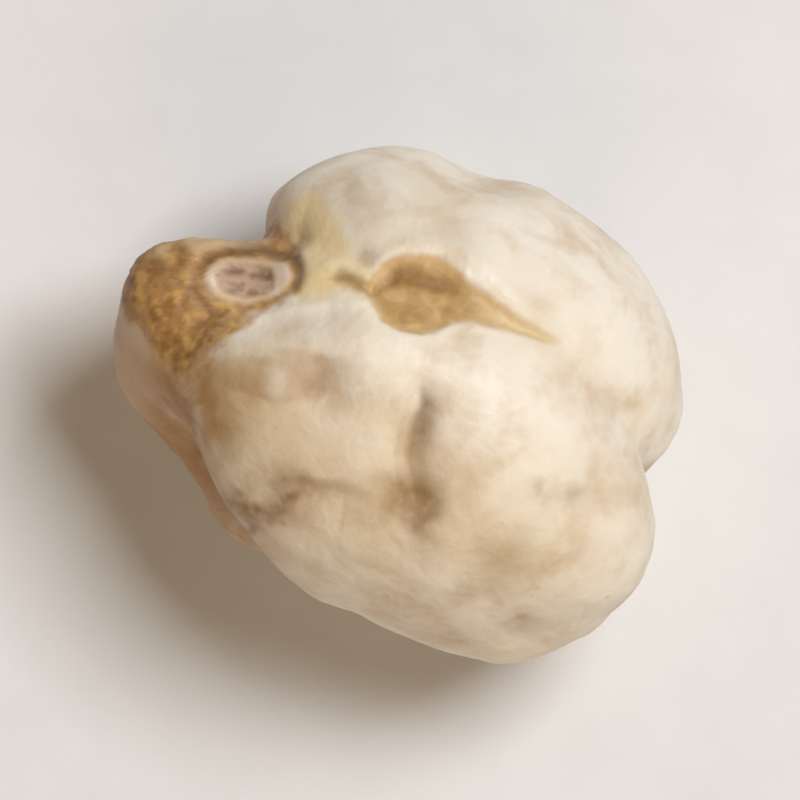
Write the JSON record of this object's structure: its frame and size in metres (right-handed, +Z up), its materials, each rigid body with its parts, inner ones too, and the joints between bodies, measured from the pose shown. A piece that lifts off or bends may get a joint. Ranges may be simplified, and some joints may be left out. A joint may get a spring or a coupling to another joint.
{
  "type": "chickpea",
  "caption": "Dried chickpea lying with its hilum uppermost: blunt turned-up beak, grooved scar line and two uneven lobes parted by a cleft.",
  "frame": {"origin": "on the surface that the seed rests on, under the middle of its outline as seen from above", "axes": "+Z up, with the hilum on the upper side; the beak points along -X and the two lobes end at +X"},
  "size_m": [0.0112, 0.009, 0.0086],
  "materials": {
    "seed_coat": "matt, faintly waxy, cream to tan"
  },
  "bodies": {
    "root": {"chickpea": "seed_coat"}
  },
  "joints": []
}
